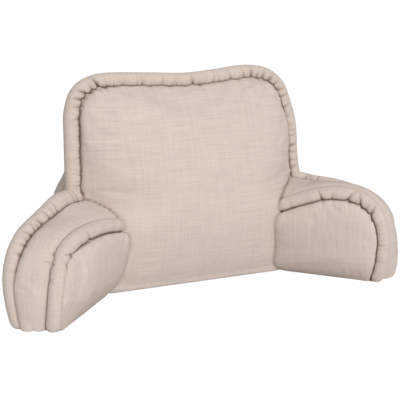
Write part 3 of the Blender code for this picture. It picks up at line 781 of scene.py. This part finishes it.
cord_turns = np.arange(CORD_SIDES) * 2 * np.pi / CORD_SIDES
middle, outward, across = back_cord_path(CORD_STATIONS)
shares, creases = gathered(arc_lengths(middle), cord_turns[None, :], back_gathers, BACK_PUCKERS, seed=11)
rings = ring_points(middle, outward, across, back_radius(middle) * shares, cord_turns)
back_cord = cord_piece("back_cord_cover", rings, cord_cloth)
seam_turn = np.full(len(middle), GROOVE_TURNS[0])
# Painted shade in the cord's creases and along its seam
add_shade(back_cord, (CREASE_SHADE * creases + line_shade(
    arc_lengths(middle), cord_turns, seam_turn, BACK_CORD_RADIUS, BACK_TROUGH, 1)).ravel())
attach(back_cord, "root")
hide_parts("back_cord")


# Arm cushions.
# Each is a D-shaped boxed cushion of the same cloth: an inner panel towards the sitter, an outer panel
# and a strip between them over the top and down the front. The root is sewn to the back.

ARM_SPLAY = 51.5
ARM_ROOT = (0.161, -0.019)
ARM_CORD_RADIUS = 0.0140
ARM_BURIED = -0.045
ARM_COLUMNS, ARM_ROWS = 60, 44
GROOVE_POINTS = 12
STRIP_POINTS = 11
# The strip starts this far beside its seams and above them
STRIP_BESIDE, STRIP_ABOVE = -0.0045, 0.0025
STRIP_BULGE = {"left": 0.002, "right": 0.003}
STRIP_FRONT_BULGE = 0.0045
ARM_PANEL_CROWN = {"inner": 0.022, "outer": 0.020}
ARM_SLACK = {("left", "inner"): 1.5, ("left", "outer"): 0.0, ("right", "inner"): 0.2, ("right", "outer"): 0.0}
ARM_FOOT_FALL = {"left": 2.5, "right": 5.0}
# How far the foot of the inner panel runs outward at the root, and how it lifts off the floor
ARM_TUCK = 0.036
ARM_LIFT = 0.0015
ARM_LIFT_RUN = 0.030
ARM_PUCKERS = 0.038
ARM_PINCH_REACH = 0.008
ARM_SEAM_STATIONS = 240
# Where the arms' cloth lies in the cloth coordinates
ARM_CLOTH = {"inner": 3.0, "outer": 5.0, "strip": 7.0}
# The root, held in the simulation, ends here along the arm, and the strip's front begins here
ROOT_END = -0.025
FRONT_START = 0.13
# The seeds of the cords' fine puckers
ARM_SEEDS = {("left", "inner"): 21, ("left", "outer"): 22, ("right", "inner"): 23, ("right", "outer"): 24}
ARM_CORD_ROWS = {
    # s along the arm, n across it, z
    ("left", "inner"): (
        (-0.034, 0.0, 0.117), (0.0, 0.0, 0.127), (0.05, 0.0, 0.1345), (0.104, 0.0, 0.1325),
        (0.139, 0.0, 0.12), (0.156, 0.0, 0.099), (0.164, 0.0, 0.07), (0.169, 0.001, 0.036),
        (0.168, 0.005, 0.012), (0.165, 0.007, 0.0),
    ),
    ("left", "outer"): (
        (-0.026, 0.078, 0.158), (0.0, 0.074, 0.167), (0.03, 0.071, 0.171), (0.06, 0.07, 0.17),
        (0.087, 0.07, 0.161), (0.115, 0.071, 0.151), (0.145, 0.072, 0.138), (0.166, 0.073, 0.118),
        (0.178, 0.073, 0.093), (0.182, 0.0725, 0.065), (0.182, 0.0695, 0.039), (0.181, 0.065, 0.016),
        (0.18, 0.061, 0.0),
    ),
    ("right", "inner"): (
        (-0.034, 0.0, 0.119), (0.0, 0.0, 0.132), (0.034, 0.0, 0.1445), (0.075, 0.0, 0.156),
        (0.117, 0.0, 0.1555), (0.147, 0.0, 0.142), (0.166, 0.0, 0.118), (0.175, 0.0, 0.084),
        (0.173, 0.002, 0.04), (0.167, 0.008, 0.012), (0.163, 0.013, 0.0),
    ),
    ("right", "outer"): (
        (-0.026, 0.072, 0.156), (0.004, 0.072, 0.167), (0.045, 0.072, 0.161), (0.092, 0.072, 0.154),
        (0.144, 0.072, 0.137), (0.17, 0.072, 0.114), (0.18, 0.071, 0.084), (0.187, 0.069, 0.044),
        (0.186, 0.063, 0.014), (0.178, 0.055, 0.0),
    ),
}
# How much thicker than the others a cord is: place along it, share of the radius
EVEN = ((0.0, 1.0),)
ARM_CORD_SWELL = {
    ("left", "inner"): EVEN, ("left", "outer"): ((0.08, 1.15), (0.14, 1.0)),
    ("right", "inner"): EVEN, ("right", "outer"): EVEN,
}
# The two seams along each arm cord, on the panel's side and on the strip's side. First the turn from
# outward, in degrees, at places along the cord, then the depth of its trough at places along it.
OUTER_PANEL_SEAM = (((0.0, 110), (0.32, 100)), ((0.0, 0.003),))
ARM_SEAMS = {
    ("left", "inner", "panel"): (
        ((0.15, 120), (0.2, 82), (0.32, 72)),
        ((0.15, 0.0026), (0.19, 0.001), (0.22, 0.0003))),
    ("left", "inner", "strip"): (
        ((0.0, 380), (0.06, 376), (0.12, 350), (0.19, 332), (0.24, 326), (0.33, 322)),
        ((0.0, 0.0003), (0.19, 0.0005), (0.21, 0.0015))),
    ("left", "outer", "panel"): OUTER_PANEL_SEAM,
    ("left", "outer", "strip"): (
        ((0.0, 256), (0.1, 258), (0.2, 282), (0.26, 312), (0.34, 326)),
        ((0.22, 0.002), (0.27, 0.0006), (0.34, 0.0003))),
    ("right", "inner", "panel"): (
        ((0.0, 120), (0.3, 118)),
        ((0.0, 0.0024), (0.1, 0.0018), (0.2, 0.0022), (0.3, 0.0024))),
    ("right", "inner", "strip"): (
        ((0.0, 376), (0.05, 372), (0.1, 348), (0.15, 334), (0.3, 328)),
        ((0.0, 0.0005),)),
    ("right", "outer", "panel"): OUTER_PANEL_SEAM,
    ("right", "outer", "strip"): (
        ((0.0, 284), (0.05, 286), (0.1, 304), (0.16, 324)),
        ((0.11, 0.003), (0.15, 0.0006), (0.29, 0.0004), (0.31, 0.002))),
}
# The turns, in degrees, that the gathers of both seams start from
SEAM_TURNS = {"panel": 120.0, "strip": 280.0}
OUTER_PANEL_GATHERS = ((0.090, 0.10, 0.004, 0.002), (0.200, 0.10, 0.004, 0.002))
ARM_GATHERS = {
    # place along the cord, share of the radius lost, half length, slant
    ("left", "inner", "panel"): (
        (0.06, 0.05, 0.005, 0.002), (0.095, 0.06, 0.004, 0.002), (0.127, 0.26, 0.003, -0.003),
        (0.151, 0.08, 0.004, 0.002), (0.18, 0.3, 0.003, -0.007), (0.203, 0.22, 0.003, 0.003),
        (0.225, 0.06, 0.005, 0.0), (0.262, 0.05, 0.005, 0.0)),
    ("left", "inner", "strip"): (
        (0.196, 0.22, 0.003, 0.002), (0.207, 0.28, 0.003, -0.002), (0.224, 0.16, 0.003, 0.002)),
    ("left", "outer", "panel"): OUTER_PANEL_GATHERS,
    ("left", "outer", "strip"): (
        (0.047, 0.36, 0.0035, 0.002), (0.058, 0.18, 0.0025, 0.002), (0.083, 0.08, 0.004, 0.002),
        (0.108, 0.24, 0.0025, -0.002), (0.118, 0.16, 0.0025, 0.002), (0.13, 0.28, 0.0025, 0.002),
        (0.15, 0.34, 0.003, 0.002), (0.16, 0.16, 0.0025, 0.002), (0.168, 0.25, 0.0025, -0.002),
        (0.18, 0.28, 0.0025, 0.002), (0.191, 0.16, 0.0025, -0.002), (0.2, 0.22, 0.0025, 0.002),
        (0.216, 0.17, 0.0025, -0.002), (0.24, 0.08, 0.003, 0.002)),
    ("right", "inner", "panel"): (
        (0.051, 0.05, 0.004, 0.002), (0.078, 0.05, 0.004, 0.002), (0.107, 0.3, 0.003, 0.002),
        (0.126, 0.14, 0.003, -0.002), (0.155, 0.34, 0.003, -0.005), (0.18, 0.34, 0.003, 0.006),
        (0.194, 0.12, 0.003, 0.002), (0.208, 0.36, 0.003, 0.005), (0.232, 0.1, 0.003, 0.002),
        (0.27, 0.1, 0.003, 0.002), (0.3, 0.12, 0.003, -0.002)),
    ("right", "inner", "strip"): ((0.140, 0.06, 0.004, 0.002),),
    ("right", "outer", "panel"): OUTER_PANEL_GATHERS,
    ("right", "outer", "strip"): (
        (0.055, 0.3, 0.0035, 0.002), (0.066, 0.22, 0.0035, -0.002), (0.076, 0.28, 0.0035, 0.002),
        (0.12, 0.1, 0.005, 0.002), (0.18, 0.08, 0.005, 0.002), (0.25, 0.08, 0.005, 0.0),
        (0.31, 0.3, 0.004, 0.0)),
}


def arm_world(side, s, n, z):
    """Place of arm coordinates: s along the arm, n across it, z up. Side is -1 for the left arm."""
    splay = np.radians(ARM_SPLAY)
    x = ARM_ROOT[0] + s * np.sin(splay) + n * np.cos(splay)
    y = ARM_ROOT[1] - s * np.cos(splay) + n * np.sin(splay)
    return np.stack([side * x, y, z], axis=-1)


def arm_flat(side, places):
    """The arm coordinates (s, n, z) of places."""
    splay = np.radians(ARM_SPLAY)
    x, y = side * places[:, 0] - ARM_ROOT[0], places[:, 1] - ARM_ROOT[1]
    return np.column_stack([x * np.sin(splay) - y * np.cos(splay),
                            x * np.cos(splay) + y * np.sin(splay), places[:, 2]])


def arm_cord_path(hand, which, count):
    """Middle line of an arm cord in (s, n, z), with its outward and across directions."""
    middle = smooth_path(ARM_CORD_ROWS[(hand, which)], count)
    tangent = unit(np.gradient(middle, axis=0))
    tangent[-1] = (0.0, 0.0, -1.0)
    across = np.tile((0.0, 1.0 if which == "inner" else -1.0, 0.0), (count, 1))
    return middle, np.cross(tangent, (0.0, 1.0, 0.0)), across


def arm_radius(hand, which, along):
    """Radius of an arm cord at places along it."""
    return ARM_CORD_RADIUS * np.interp(along, *np.transpose(ARM_CORD_SWELL[(hand, which)]))


def arm_gathers(hand, which):
    """The gathers of an arm cord from both of its seams."""
    return np.vstack([at_turn(ARM_GATHERS[(hand, which, face)], turn) for face, turn in SEAM_TURNS.items()])


def arm_groove(hand, which, count):
    """Rings of the cushion's groove along a cord, (stations, points, 3), from the panel's seam to
    the strip's; the panel's seam without gathers; the strip's start; the cord's outward way; and
    how far the strip lies out from its start."""
    middle, outward, across = arm_cord_path(hand, which, count)
    along = arc_lengths(middle)
    first, last = (np.interp(along, *np.transpose(ARM_SEAMS[(hand, which, face)][0]))[:, None]
                   for face in ("panel", "strip"))
    turns = np.radians(first + (last - first) * np.linspace(0, 1, GROOVE_POINTS))
    shares, _ = gathered(along, turns, arm_gathers(hand, which), ARM_PUCKERS, ARM_SEEDS[(hand, which)])
    full = arm_radius(hand, which, along)
    smooth = ring_points(middle, outward, across, full[:, None] + GAP, turns[:, :1])[:, 0]
    start = middle - across * (full * np.sin(turns[:, -1]) + STRIP_BESIDE)[:, None]
    above = full * np.cos(turns[:, -1]) + STRIP_ABOVE
    rings = ring_points(middle, outward, across, full[:, None] * shares + GAP, turns)
    return rings, smooth, start, outward, above


def arm_surface(hand):
    """Front grid, rings between, rear grid of an arm cushion in (s, n, z)."""
    count = ARM_COLUMNS + ARM_ROWS + 1
    inner_groove, inner_seam, low, inner_out, inner_above = arm_groove(hand, "inner", count)
    outer_groove, outer_seam, high, outer_out, outer_above = arm_groove(hand, "outer", count)
    width = ARM_CORD_ROWS[(hand, "outer")][-1][1]
    arcs = [inner_groove[:, k] for k in range(GROOVE_POINTS)]
    down = smooth_step(np.linspace(-0.5, 1.5, count))
    for share in np.linspace(0, 1, STRIP_POINTS):
        strip_out = unit(inner_out + (outer_out - inner_out) * share)
        bulge = STRIP_BULGE[hand] + (STRIP_FRONT_BULGE - STRIP_BULGE[hand]) * down
        edge = inner_above + (outer_above - inner_above) * share
        height = edge + bulge * (1 - np.abs(2 * share - 1) ** 3) ** 0.8
        strip = low + (high - low) * share + strip_out * height[:, None]
        strip[-1, 2] = 0.0
        arcs.append(strip)
    arcs += [outer_groove[:, k] for k in reversed(range(GROOVE_POINTS))]
    loops = []
    for place, arc in enumerate(arcs):
        nominal = arc[-1, 1]
        inner_share = 1 - np.clip(nominal / width, 0, 1)
        foot_s = np.linspace(arc[-1, 0], ARM_BURIED, ARM_COLUMNS + 1)[1:]
        tuck = ARM_TUCK * inner_share * (foot_s[0] - foot_s) / (foot_s[0] - ARM_BURIED)
        foot = np.column_stack([foot_s, nominal + tuck, np.zeros(len(foot_s))])
        if place == 0:
            foot[:, 2] = ARM_LIFT * smooth_step((arc[-1, 0] - foot_s) / ARM_LIFT_RUN)
        rise = np.linspace(0, 1, ARM_ROWS + 1)[1:-1, None]
        loops.append(np.vstack([arc, foot, foot[-1] + (arc[0] - foot[-1]) * rise]))
    smooth_edges = []
    for loop, seam in ((loops[0], inner_seam), (loops[-1], outer_seam)):
        smooth_edges.append(np.roll(np.vstack([seam, loop[len(seam):]]), ARM_ROWS, axis=0))
    loops = [np.roll(loop, ARM_ROWS, axis=0) for loop in loops]
    panels = []
    u = np.linspace(0, 1, ARM_COLUMNS + 1)[:, None]
    v = np.linspace(0, 1, ARM_ROWS + 1)[None, :]
    sides = zip(smooth_edges, (loops[0], loops[-1]), (-1, 1), ("inner", "outer"))
    for smooth, edge, way, name in sides:
        grid = panel_grid(smooth, edge, ARM_COLUMNS, ARM_ROWS)
        slack = ARM_SLACK[(hand, name)] * smooth_step((u - 0.4) / 0.5)
        grid[:, :, 1] += way * ARM_PANEL_CROWN[name] * pillow(u, v, slack, ARM_FOOT_FALL[hand])
        panels.append(grid)
    return panels[0], loops, panels[1]


# Folds of the arms' inner panels: from s, z to s, z, depth, width; and of the strips down their
# fronts: from n, z to n, z, depth, width
PANEL_FOLDS = {
    "left": ((0.150, 0.098, 0.120, 0.090, 0.0015, 0.004), (0.020, 0.000, 0.026, 0.020, 0.0015, 0.003)),
    "right": ((0.104, 0.000, 0.110, 0.028, 0.0020, 0.0025), (0.121, 0.000, 0.124, 0.024, 0.0020, 0.0025),
              (0.14, 0.0, 0.136, 0.024, 0.002, 0.0025), (0.062, 0.0, 0.06, 0.018, 0.0012, 0.003)),
}
STRIP_FOLDS = {
    "left": ((0.013, 0.106, 0.036, 0.090, 0.0035, 0.0025), (0.013, 0.118, 0.030, 0.122, 0.0020, 0.0025),
             (0.03, 0.0, 0.032, 0.018, 0.002, 0.003)),
    "right": ((0.058, 0.120, 0.040, 0.126, 0.0015, 0.003),),
}

arm_cloth = cloth_material("arm_cloth", 1.0, 0.5)
arm_covers, cord_covers = {}, {}
for hand, side in (("left", -1), ("right", 1)):
    front, loops, rear = arm_surface(hand)
    front_cloth = front[:, :, [2, 0]] + (ARM_CLOTH["inner"], side)
    rear_cloth = rear[:, :, [2, 0]] + (ARM_CLOTH["outer"], side)
    band_rings = np.stack(loops, axis=1)
    around = len(band_rings)
    band_rings = np.vstack([band_rings, band_rings[:1]])
    band_cloth = band_places(band_rings, len(loops) // 2, ARM_CLOTH["strip"] + side)
    points = np.vstack([front.reshape(-1, 3), rear.reshape(-1, 3), *loops[1:-1]])
    arm = put_piece(f"{hand}_arm_cover", arm_world(side, *points.T), cushion_patches(
        ARM_COLUMNS, ARM_ROWS, len(loops) - 2, front_cloth, rear_cloth, band_cloth), arm_cloth)
    first_ring = 2 * (ARM_COLUMNS + 1) * (ARM_ROWS + 1)
    grooved = np.arange((GROOVE_POINTS - 1) * around)
    grooves = np.concatenate([first_ring + grooved, len(points) - 1 - grooved])
    resting = np.flatnonzero((points[:, 2] < RESTING_Z) | (points[:, 0] < ROOT_END))
    held = np.unique(np.concatenate([panel_edges(ARM_COLUMNS, ARM_ROWS), grooves, resting]))
    fill_cover(arm, held, pressure=1.6, slack=0.010, limit=0.004)
    subdivided(arm)
    places = arm_flat(side, read_points(arm.data) - np.array(FRAME_SHIFT))
    depth, shade = 0, 0
    for which in ("inner", "outer"):
        path = arm_cord_path(hand, which, ARM_SEAM_STATIONS)
        along = arc_lengths(path[0])
        inside = (places[:, 1] - path[0][:, 1].mean()) * (1 if which == "inner" else -1)
        for face, on_face in (("panel", inside < 0), ("strip", inside >= 0)):
            turn_rows, trough = ARM_SEAMS[(hand, which, face)]
            seam_turns = np.radians(np.interp(along, *np.transpose(turn_rows)))
            seam = ring_points(*path, arm_radius(hand, which, along)[:, None], seam_turns[:, None])[:, 0]
            pinch, dark = pinched_seam(
                places, seam, ARM_GATHERS[(hand, which, face)], trough, ARM_PINCH_REACH)
            depth = depth + pinch * on_face
            shade = shade + dark * on_face
    on_panel = places[:, 1] < 0
    down_front = ~on_panel & (places[:, 0] > FRONT_START)
    depth = depth + fold_depth(places[:, [0, 2]], PANEL_FOLDS[hand]) * on_panel
    depth = depth + fold_depth(places[:, [1, 2]], STRIP_FOLDS[hand]) * down_front
    press_in(arm, depth)
    # Painted shade along the arm's seams and in the creases from their gathers
    add_shade(arm, shade)
    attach(arm, "root")
    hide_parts(f"{hand}_arm_cushion")
    arm_covers[hand] = arm


# Arm cords.
# Four more gathered cords, one along each edge of an arm's strip, from the back over the top and down
# the front to the floor, where their ends are turned in.

ARM_CORD_STATIONS = 250
# The share of the radius that the turned-in end loses, over this height
CORD_END_LOSS, CORD_END_HEIGHT = 0.30, 0.010

for hand, side in (("left", -1), ("right", 1)):
    for which in ("inner", "outer"):
        middle, outward, across = arm_cord_path(hand, which, ARM_CORD_STATIONS)
        along = arc_lengths(middle)
        shares, creases = gathered(
            along, cord_turns[None, :], arm_gathers(hand, which), ARM_PUCKERS, ARM_SEEDS[(hand, which)])
        turned_in = np.clip(1 - middle[:, 2] / CORD_END_HEIGHT, 0.0, 1.0) ** 2
        full = arm_radius(hand, which, along) * (1 - CORD_END_LOSS * turned_in)
        rings = ring_points(middle, outward, across, full[:, None] * shares, cord_turns)
        rings[:, :, 2] = np.maximum(rings[:, :, 2], 0.0)
        rings = arm_world(side, *np.moveaxis(rings, -1, 0))
        cord = cord_piece(f"{hand}_{which}_cord_cover", rings, cord_cloth)
        # Painted shade in the cord's creases and along both its seams
        shade = CREASE_SHADE * creases
        for face, way in (("panel", 1), ("strip", -1)):
            turn_rows, trough = ARM_SEAMS[(hand, which, face)]
            seam_turn = np.radians(np.interp(along, *np.transpose(turn_rows)))
            shade = shade + line_shade(along, cord_turns, seam_turn, ARM_CORD_RADIUS, trough, way)
        add_shade(cord, shade.ravel())
        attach(cord, "root")
        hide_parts(f"{hand}_arm_{which}_cord")
        cord_covers[(hand, which)] = cord


# Seams between the arms and the back.
# The arms' covers are sewn by hand to the back's cover all round their roots, which draws both
# covers in along the seam, and painted shade darkens the seam's line.

SEWN_DEPTH = 0.0018
SEWN_NEAR = 0.001
SEWN_WIDTH = 0.0013
# Painted shade of the sewn seam: height, share
SEWN_SHADE = ((0.0, 0.25), (0.125, 0.30), (0.155, 0.85))
# The part of an arm that is searched, up to this place along it, and the part of the back
SEWN_ROOT = 0.05
SEWN_X, SEWN_Y, SEWN_Z = 0.11, 0.06, 0.20
SEARCH_MARGIN, SEARCH_CHUNK = 0.02, 1500


def closeness(places, others):
    """exp(-(d - SEWN_NEAR) / SEWN_WIDTH) for each place, d being the distance to the nearest of the
    others, and 1 closer than SEWN_NEAR."""
    result = np.zeros(len(places))
    low, high = others.min(axis=0) - SEARCH_MARGIN, others.max(axis=0) + SEARCH_MARGIN
    near = np.flatnonzero(((places > low) & (places < high)).all(axis=1))
    for part in np.array_split(near, max(1, len(near) // SEARCH_CHUNK)):
        a = places[part]
        square = (a**2).sum(axis=1)[:, None] + (others**2).sum(axis=1) - 2 * a @ others.T
        away = np.sqrt(np.maximum(square.min(axis=1), 0.0)) - SEWN_NEAR
        result[part] = np.exp(-np.maximum(away, 0.0) / SEWN_WIDTH)
    return result


back_places = read_points(back_cushion.data)
for hand, side in (("left", -1), ("right", 1)):
    arm = arm_covers[hand]
    cords = [cord_covers[(hand, which)] for which in ("inner", "outer")]
    arm_places = np.vstack([read_points(piece.data) for piece in (arm, *cords)])
    root = arm_flat(side, arm_places - np.array(FRAME_SHIFT))[:, 0] < SEWN_ROOT
    beside = (side * back_places[:, 0] > SEWN_X) & (back_places[:, 1] < SEWN_Y) & (back_places[:, 2] < SEWN_Z)
    pairs = [(back_cushion, back_places, arm_places[root])]
    pairs += [(piece, read_points(piece.data), back_places[beside]) for piece in (arm, *cords)]
    for piece, own_places, others in pairs:
        near = closeness(own_places, others)
        press_in(piece, SEWN_DEPTH * near)
        # Painted shade along the sewn seam
        add_shade(piece, np.interp(own_places[:, 2], *np.transpose(SEWN_SHADE)) * near)
